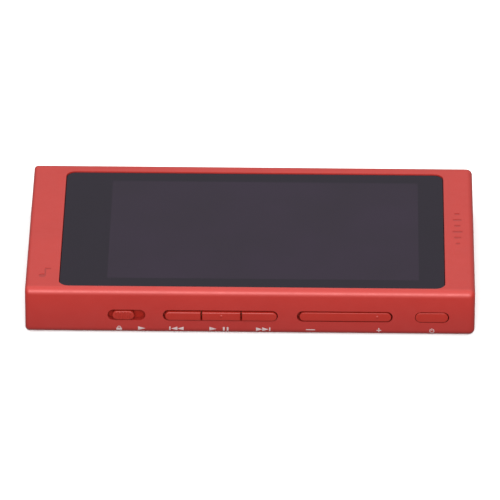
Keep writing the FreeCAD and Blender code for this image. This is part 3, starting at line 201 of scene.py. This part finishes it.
def blend_colours(tree, factor, first, second):
    """A colour socket between two colours, each an RGB triple or another socket."""
    node = tree.nodes.new("ShaderNodeMix")
    node.data_type = "RGBA"
    tree.links.new(factor, node.inputs["Factor"])
    for socket, colour in ((node.inputs[6], first), (node.inputs[7], second)):
        if isinstance(colour, tuple):
            socket.default_value = (*colour, 1.0)
        else:
            tree.links.new(colour, socket)
    return node.outputs[2]


def math_node(tree, operation, first, second=0.0):
    node = tree.nodes.new("ShaderNodeMath")
    node.operation = operation
    for socket, value in zip(node.inputs, (first, second)):
        if isinstance(value, (int, float)):
            socket.default_value = value
        else:
            tree.links.new(value, socket)
    return node.outputs[0]


def edge_mask(tree, radius):
    """1 on sharp outer edges, 0 on flats, from the difference that a bevelled normal makes."""
    bevel = tree.nodes.new("ShaderNodeBevel")
    bevel.samples = 4
    bevel.inputs["Radius"].default_value = radius
    geometry = tree.nodes.new("ShaderNodeNewGeometry")
    dot = tree.nodes.new("ShaderNodeVectorMath")
    dot.operation = "DOT_PRODUCT"
    tree.links.new(bevel.outputs["Normal"], dot.inputs[0])
    tree.links.new(geometry.outputs["Normal"], dot.inputs[1])
    return remap(tree, dot.outputs["Value"], (0.995, 0.80), (0.0, 1.0))


def sunk_mask(tree):
    """1 on the floors of the marks sunk into the front face, which lie just below the face and point up."""
    height = coordinates(tree)["Z"]
    facing = tree.nodes.new("ShaderNodeSeparateXYZ")
    tree.links.new(tree.nodes.new("ShaderNodeNewGeometry").outputs["True Normal"], facing.inputs["Vector"])
    floor_z = TOP_Z - MARK_DEPTH
    below = math_node(tree, "LESS_THAN", height, floor_z + MARK_DEPTH / 4)
    above = math_node(tree, "GREATER_THAN", height, floor_z - MARK_DEPTH / 4)
    level = math_node(tree, "GREATER_THAN", facing.outputs["Z"], 0.999)
    return math_node(tree, "MULTIPLY", math_node(tree, "MULTIPLY", below, above), level)


def bump(tree, shader, height, depth, strength=1.0):
    node = tree.nodes.new("ShaderNodeBump")
    node.inputs["Strength"].default_value = strength
    node.inputs["Distance"].default_value = depth
    tree.links.new(height, node.inputs["Height"])
    tree.links.new(node.outputs["Normal"], shader.inputs["Normal"])


# ---- finishes --------------------------------------------------------------------------------------
def grained(name, colour, shade, roughness, grain, depth, metallic=0.0, wear=None, cloud=8 * MM,
            stretch=EVEN, mark=None, foot=None, **constants):
    """A surface with cloudy colour variation, a fine raised grain and uneven gloss.

    wear is the colour of worn edges, mark that of sunk marks, and the painted-shade argument a colour with
    the two heights between
    which the surface turns to it: painted shade that darkens the surface towards the bottom.
    """
    material, tree, shader = new_material(name, metallic, **constants)
    cloudy = remap(tree, noise(tree, cloud, 3), NOISE_SPAN, (0.0, 1.0))
    colour_socket = blend_colours(tree, cloudy, colour, shade)
    # painted shade: the colour turns darker towards the bottom between the two heights
    if foot:
        painted_shade_colour, heights = foot
        painted_shade_amount = remap(tree, coordinates(tree)["Z"], heights, (1.0, 0.0))
        colour_socket = blend_colours(tree, painted_shade_amount, colour_socket, painted_shade_colour)
    fine = noise(tree, grain, 1.5, stretch)
    fine_gloss = remap(tree, fine, NOISE_SPAN, (-0.03, 0.03))
    patchy_gloss = remap(tree, noise(tree, 2.5 * MM, 3), NOISE_SPAN, (roughness - 0.03, roughness + 0.04))
    gloss = math_node(tree, "ADD", fine_gloss, patchy_gloss)
    if wear:
        patches = remap(tree, noise(tree, 0.9 * MM, 4), (0.45, 0.75), (0.0, 0.6))
        worn = math_node(tree, "MULTIPLY", edge_mask(tree, 0.12 * MM), patches)
        colour_socket = blend_colours(tree, worn, colour_socket, wear)
        gloss = math_node(tree, "SUBTRACT", gloss, math_node(tree, "MULTIPLY", worn, 0.12))
    if mark:
        colour_socket = blend_colours(tree, sunk_mask(tree), colour_socket, mark)
    tree.links.new(colour_socket, shader.inputs["Base Color"])
    tree.links.new(gloss, shader.inputs["Roughness"])
    bump(tree, shader, fine, depth)
    return material


def brushed(name, colour, shade, roughness, along=(20, 1, 1)):
    """Metal with fine lines along one axis."""
    return grained(name, colour, shade, roughness, 0.03 * MM, 0.0015 * MM, metallic=1.0,
                   cloud=3 * MM, stretch=along)


def screen_glass(name):
    """Glass over black print, with the switched-off display a touch lighter and purple inside its window."""
    material, tree, shader = new_material(name)
    low, high = WINDOW
    place = coordinates(tree)
    soft = 0.03 * MM
    inside = None
    for axis in (0, 1):
        for sign, limit in ((1, low[axis]), (-1, high[axis])):
            away = math_node(tree, "MULTIPLY", math_node(tree, "SUBTRACT", place[axis], limit), sign)
            step = remap(tree, away, (-soft, soft), (0.0, 1.0))
            inside = step if inside is None else math_node(tree, "MULTIPLY", inside, step)
    uneven = remap(tree, noise(tree, 14 * MM, 2), NOISE_SPAN, (0.0, 1.0))
    display = blend_colours(tree, uneven, DISPLAY_DARK, DISPLAY_LIGHT)
    print_colour = blend_colours(tree, noise(tree, 6 * MM, 2), PRINT_DARK, PRINT_LIGHT)
    tree.links.new(blend_colours(tree, inside, print_colour, display), shader.inputs["Base Color"])
    smears = remap(tree, noise(tree, 9 * MM, 4, (1.8, 1, 1)), (0.35, 0.75), (0.050, 0.054))
    tree.links.new(smears, shader.inputs["Roughness"])
    bump(tree, shader, noise(tree, 40 * MM, 1), 0.001 * MM, 0.05)
    return material


# each material slot of the record, with what makes its material
FINISHES = {
    # the case and key finishes below darken towards the bottom: painted shade
    "case_metal": (grained, dict(
        colour=CASE_RED, shade=CASE_RED_SHADE, roughness=0.45, grain=0.045 * MM, depth=0.004 * MM,
        metallic=0.12, wear=WORN_RED, mark=MARK_RED, foot=(CASE_PAINTED_SHADE_RED, CASE_PAINTED_SHADE_HEIGHTS))),
    "case_plastic": (grained, dict(
        colour=CASE_RED, shade=CASE_RED_SHADE, roughness=0.50, grain=0.07 * MM, depth=0.006 * MM,
        wear=WORN_RED, foot=(CASE_PAINTED_SHADE_RED, CASE_PAINTED_SHADE_HEIGHTS))),
    "key_plastic": (grained, dict(
        colour=KEY_RED, shade=KEY_RED_SHADE, roughness=0.42, grain=0.05 * MM, depth=0.003 * MM,
        wear=WORN_RED, foot=(KEY_PAINTED_SHADE_RED, KEY_PAINTED_SHADE_HEIGHTS), Specular_IOR_Level=0.36)),
    # painted shade: darker and duller than the key plastic, for the shade inside the hold slot
    "lever_plastic": (grained, dict(
        colour=LEVER_PAINTED_SHADE_RED, shade=LEVER_PAINTED_SHADE_RED_TONE, roughness=0.6, grain=0.05 * MM, depth=0.003 * MM,
        Specular_IOR_Level=0.15)),
    "legend_ink": (grained, dict(
        colour=LEGEND_GREY, shade=LEGEND_GREY_SHADE, roughness=0.5, grain=0.05 * MM, depth=0.002 * MM,
        cloud=0.4 * MM)),
    "screen_glass": (screen_glass, dict()),
    "black_print": (grained, dict(
        colour=(0.004, 0.004, 0.005), shade=(0.007, 0.007, 0.008), roughness=0.3, grain=0.1 * MM,
        depth=0.001 * MM)),
    "display": (grained, dict(
        colour=(0.010, 0.006, 0.013), shade=(0.014, 0.009, 0.018), roughness=0.2, grain=0.1 * MM,
        depth=0.001 * MM)),
    "foam_tape": (grained, dict(
        colour=(0.02, 0.02, 0.02), shade=(0.035, 0.035, 0.035), roughness=0.9, grain=0.12 * MM,
        depth=0.03 * MM)),
    "flex_film": (grained, dict(
        colour=(0.40, 0.17, 0.03), shade=(0.50, 0.24, 0.05), roughness=0.35, grain=0.2 * MM,
        depth=0.002 * MM)),
    "chassis_metal": (brushed, dict(
        colour=(0.62, 0.63, 0.65), shade=(0.55, 0.56, 0.58), roughness=0.38)),
    "steel": (brushed, dict(
        colour=(0.56, 0.55, 0.53), shade=(0.48, 0.47, 0.46), roughness=0.30)),
    "board": (grained, dict(
        colour=(0.008, 0.05, 0.02), shade=(0.012, 0.07, 0.03), roughness=0.4, grain=0.15 * MM,
        depth=0.01 * MM)),
    "black_plastic": (grained, dict(
        colour=(0.012, 0.012, 0.013), shade=(0.02, 0.02, 0.022), roughness=0.45, grain=0.06 * MM,
        depth=0.006 * MM)),
    "chip_black": (grained, dict(
        colour=(0.015, 0.015, 0.016), shade=(0.03, 0.03, 0.03), roughness=0.6, grain=0.08 * MM,
        depth=0.01 * MM)),
    "ceramic": (grained, dict(
        colour=(0.45, 0.33, 0.20), shade=(0.52, 0.40, 0.27), roughness=0.5, grain=0.1 * MM,
        depth=0.005 * MM)),
    "cell_foil": (brushed, dict(
        colour=(0.62, 0.62, 0.63), shade=(0.52, 0.52, 0.54), roughness=0.45, along=EVEN)),
    "gold": (brushed, dict(
        colour=(0.85, 0.60, 0.26), shade=(0.76, 0.52, 0.21), roughness=0.24, along=EVEN)),
    "wire_red": (grained, dict(
        colour=(0.35, 0.02, 0.015), shade=(0.42, 0.03, 0.02), roughness=0.5, grain=0.1 * MM,
        depth=0.004 * MM)),
    "ferrite": (grained, dict(
        colour=(0.05, 0.05, 0.055), shade=(0.08, 0.08, 0.085), roughness=0.6, grain=0.1 * MM,
        depth=0.01 * MM)),
}
MATERIALS = {name: make(name, **look) for name, (make, look) in FINISHES.items()}


def finish_cad_nodes():
    slots = {s["node"]: s["material_slot"] for s in frame["record"]["subparts"]}
    for name, node in NODES.items():
        for holder in node.material_slots:
            holder.material = MATERIALS[slots[name]]


# ---- flat symbols, as outlines in millimetres about their own centre -------------------------------
def rectangle(x0, x1, y0, y1):
    return [(x0, y0), (x1, y0), (x1, y1), (x0, y1)]


def arc_points(cx, cy, r, start, end, count):
    """Points on an arc, with angles in degrees anticlockwise from +X."""
    angles = [math.radians(start + (end - start) * i / (count - 1)) for i in range(count)]
    return [(cx + r * math.cos(a), cy + r * math.sin(a)) for a in angles]


def ring_sector(cx, cy, r_in, r_out, start, end, count=20):
    return arc_points(cx, cy, r_out, start, end, count) + arc_points(cx, cy, r_in, end, start, count)


def moved(outline, dx, dy=0.0):
    return [(x + dx, y + dy) for x, y in outline]


def flipped(outline):
    return [(-x, y) for x, y in reversed(outline)]


TRIANGLE = [(-0.5, -0.42), (0.5, 0.0), (-0.5, 0.42)]


def padlock():
    shackle = [(-0.33, 0.0), *arc_points(0, 0.16, 0.33, 180, 0, 12), (0.33, 0.0), (0.2, 0.0),
               *arc_points(0, 0.16, 0.2, 0, 180, 12), (-0.2, 0.0)]
    return [rectangle(-0.5, 0.5, -0.5, 0.06), shackle]


def skip(forward):
    shapes = [moved(TRIANGLE, -0.55), moved(TRIANGLE, 0.45), rectangle(1.05, 1.25, -0.42, 0.42)]
    return shapes if forward else [flipped(s) for s in shapes]


def play_pause():
    return [moved(TRIANGLE, -1.0), rectangle(0.45, 0.7, -0.42, 0.42), rectangle(1.0, 1.25, -0.42, 0.42)]


def power_symbol():
    return [ring_sector(0, -0.05, 0.38, 0.52, 122, 418), rectangle(-0.07, 0.07, -0.02, 0.55)]


def minus():
    return [rectangle(-0.55, 0.55, -0.09, 0.09)]


def plus():
    bar = rectangle(-0.5, 0.5, -0.09, 0.09)
    return [bar, rectangle(-0.09, 0.09, 0.12, 0.5), rectangle(-0.09, 0.09, -0.5, -0.12)]


def side_profile(x, below):
    """A point on the near side and its normal; below runs down the surface from where the rounding starts."""
    turn = max(0.0, below) / BOTTOM_R
    y = SIDE_Y + BOTTOM_R * (1 - math.cos(turn))
    z = BOTTOM_R - BOTTOM_R * math.sin(turn) - min(0.0, below)
    return Vector((x, y, z)), Vector((0, -math.cos(turn), -math.sin(turn)))


def symbol_mesh(name, outlines, place):
    """A thin closed solid of ink. place(u, v) gives a point on the surface and its normal there."""
    mesh = bmesh.new()
    for outline in outlines:
        mesh.faces.new([mesh.verts.new((x * MM, y * MM, 0)) for x, y in outline])
    high = max(v.co.y for v in mesh.verts)
    level = min(v.co.y for v in mesh.verts) + INK_ROW
    while level < high:
        bmesh.ops.bisect_plane(mesh, geom=mesh.verts[:] + mesh.edges[:] + mesh.faces[:],
                               plane_co=(0, level, 0), plane_no=(0, 1, 0))
        level += INK_ROW
    bmesh.ops.triangulate(mesh, faces=mesh.faces[:])
    flat = [(v, v.co.x, v.co.y) for v in mesh.verts]
    for vertex, u, v in flat:
        point, normal = place(u, v)
        vertex.co = point + normal * INK_RISE
    top = list(mesh.faces)
    copied = bmesh.ops.duplicate(mesh, geom=mesh.verts[:] + mesh.edges[:] + mesh.faces[:])
    below = {old: new for old, new in copied["vert_map"].items() if isinstance(old, bmesh.types.BMVert)}
    for vertex, u, v in flat:
        point, normal = place(u, v)
        below[vertex].co = point + normal * (INK_RISE - INK_THICK)
    copied_faces = [f for f in copied["geom"] if isinstance(f, bmesh.types.BMFace)]
    bmesh.ops.reverse_faces(mesh, faces=copied_faces)
    rims = [e for f in top for e in f.edges if len(e.link_faces) == 1]
    for edge in rims:
        a, b = edge.verts
        mesh.faces.new([a, b, below[b], below[a]])
    bmesh.ops.recalc_face_normals(mesh, faces=mesh.faces[:])
    return from_bmesh(name, mesh)


def add_piece(piece, material, body):
    """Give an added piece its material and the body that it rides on."""
    piece.data.materials.append(MATERIALS[material])
    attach(piece, body)


def middle_x(node):
    low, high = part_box(node)
    return (low.x + high.x) / 2


def legend(name, outlines, x, stretch=1.0):
    """Ink on the near side's lower rounding, centred at x, drawn wider by the stretch."""
    wide = [[(stretch * u, LEGEND_HEIGHT * v) for u, v in outline] for outline in outlines]
    piece = symbol_mesh(name, wide, lambda u, v: side_profile(x + u, LEGEND_DROP - v))
    add_piece(piece, "legend_ink", "housing")


def key_legends():
    hold_x = middle_x("hold_knob")
    legend("legend_lock", padlock(), hold_x - 0.9 * MM, 1.2)
    legend("legend_lock_arrow", [TRIANGLE], hold_x + 4.0 * MM, 1.6)
    legend("legend_previous", skip(False), middle_x("previous_key") - 0.8 * MM, 1.35)
    legend("legend_play_pause", play_pause(), middle_x("play_key") - 0.3 * MM, 1.5)
    legend("legend_next", skip(True), middle_x("next_key") + 0.4 * MM, 1.35)
    legend("legend_minus", minus(), middle_x("volume_key") - 7.4 * MM, 1.8)
    legend("legend_plus", plus(), middle_x("volume_key") + 7.4 * MM)
    legend("legend_power", power_symbol(), middle_x("power_key"))


# ---- snap domes ------------------------------------------------------------------------------------
def snap_dome(name, x0, x1):
    """The dome between two X values, cut out of the frame's rigid ones as a piece of its own."""
    rigid = NODES["key_domes"]
    mesh = bmesh.new()
    mesh.from_mesh(rigid.data)
    mesh.transform(rigid.matrix_world)
    others = [f for f in mesh.faces if not x0 < f.calc_center_median().x < x1]
    bmesh.ops.delete(mesh, geom=others, context="FACES")
    bmesh.ops.remove_doubles(mesh, verts=mesh.verts[:], dist=0.001 * MM)
    for face in mesh.faces:
        face.smooth = True
    dome = from_bmesh(name, mesh)
    add_piece(dome, "steel", "housing")
    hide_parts("key_domes")
    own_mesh(dome)


def snap_domes():
    for key in ("previous", "play", "next", "power"):
        low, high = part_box(f"{key}_key")
        snap_dome(f"dome_{key}", low.x, high.x)
    low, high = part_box("volume_key")
    middle = (low.x + high.x) / 2
    snap_dome("dome_minus", low.x, middle)
    snap_dome("dome_plus", middle, high.x)


# ---- stage -----------------------------------------------------------------------------------------
def towards(azimuth, elevation):
    """The unit vector from the player in a direction in degrees; azimuth 0 is the side with the keys."""
    a, e = math.radians(azimuth), math.radians(elevation)
    return Vector((math.sin(a) * math.cos(e), -math.cos(a) * math.cos(e), math.sin(e)))


def floor():
    """A pale floor that only the camera sees, so that it neither lights nor shades the player."""
    mesh = bpy.data.meshes.new("floor")
    h = FLOOR_HALF
    mesh.from_pydata([(-h, -h, 0), (h, -h, 0), (h, h, 0), (-h, h, 0)], [], [(0, 1, 2, 3)])
    piece = in_scene("floor", mesh)
    piece.location.z = -FLOOR_DROP
    material, tree, shader = new_material("floor_paper")
    shade = noise(tree, 0.4, 2)
    tree.links.new(blend_colours(tree, shade, FLOOR_TONE, FLOOR_TONE_SHADE), shader.inputs["Base Color"])
    shader.inputs["Roughness"].default_value = 0.9
    mesh.materials.append(material)
    for ray in ("diffuse", "glossy", "transmission", "shadow"):
        setattr(piece, f"visible_{ray}", False)


def soft_light(name, elevation, size, power):
    """A large softbox in front of the side with the keys, aimed at the player."""
    light = bpy.data.lights.new(name, "AREA")
    light.shape = "RECTANGLE"
    light.size, light.size_y = size
    light.energy = power
    lamp = in_scene(name, light)
    direction = towards(0, elevation)
    lamp.location = direction * LIGHT_DISTANCE
    lamp.rotation_mode = "QUATERNION"
    lamp.rotation_quaternion = direction.to_track_quat("Z", "Y")


def world():
    """Pale surroundings, brighter overhead; the camera itself sees them evenly white, like the floor."""
    sky = bpy.data.worlds.new("studio")
    bpy.context.scene.world = sky
    sky.use_nodes = True
    tree = sky.node_tree
    background = tree.nodes["Background"]
    background.inputs["Color"].default_value = (1.0, 1.0, 1.0, 1.0)
    height = tree.nodes.new("ShaderNodeSeparateXYZ")
    tree.links.new(tree.nodes.new("ShaderNodeTexCoord").outputs["Generated"], height.inputs["Vector"])
    ground = remap(tree, height.outputs["Z"], HORIZON, (GROUND_LIGHT, WORLD_LIGHT))
    rise = remap(tree, height.outputs["Z"], DOME_EDGE, (0.0, DOME_LIGHT - WORLD_LIGHT))
    dome = math_node(tree, "ADD", ground, rise)
    seen = tree.nodes.new("ShaderNodeMapRange")
    tree.links.new(tree.nodes.new("ShaderNodeLightPath").outputs["Is Camera Ray"], seen.inputs["Value"])
    tree.links.new(dome, seen.inputs["To Min"])
    tree.links.new(seen.outputs["Result"], background.inputs["Strength"])


def lights():
    soft_light("front_softbox", **FRONT_LIGHT)
    soft_light("front_fill", **FILL_LIGHT)


# ---- camera ----------------------------------------------------------------------------------------
def camera():
    data = bpy.data.cameras.new("camera")
    data.lens = CAMERA_LENS
    data.sensor_width = 36.0
    data.clip_start = 0.1
    data.clip_end = 100.0
    lens = in_scene("camera", data)
    back = towards(CAMERA_AZIMUTH, CAMERA_ELEVATION)
    right = Vector((-back.y, back.x, 0)).normalized()
    up = back.cross(right)
    target = Vector((0, 0, TOP_Z / 2)) + right * CAMERA_ASIDE + up * CAMERA_LOWER
    lens.location = target + back * CAMERA_DISTANCE
    lens.rotation_mode = "QUATERNION"
    lens.rotation_quaternion = (-back).to_track_quat("-Z", "Y")
    lens.rotation_mode = "XYZ"
    lens.rotation_euler.rotate_axis("Z", math.radians(CAMERA_ROLL))
    bpy.context.scene.camera = lens


finish_cad_nodes()
key_legends()
snap_domes()
floor()
world()
lights()
camera()
bpy.context.scene.view_settings.view_transform = "Standard"
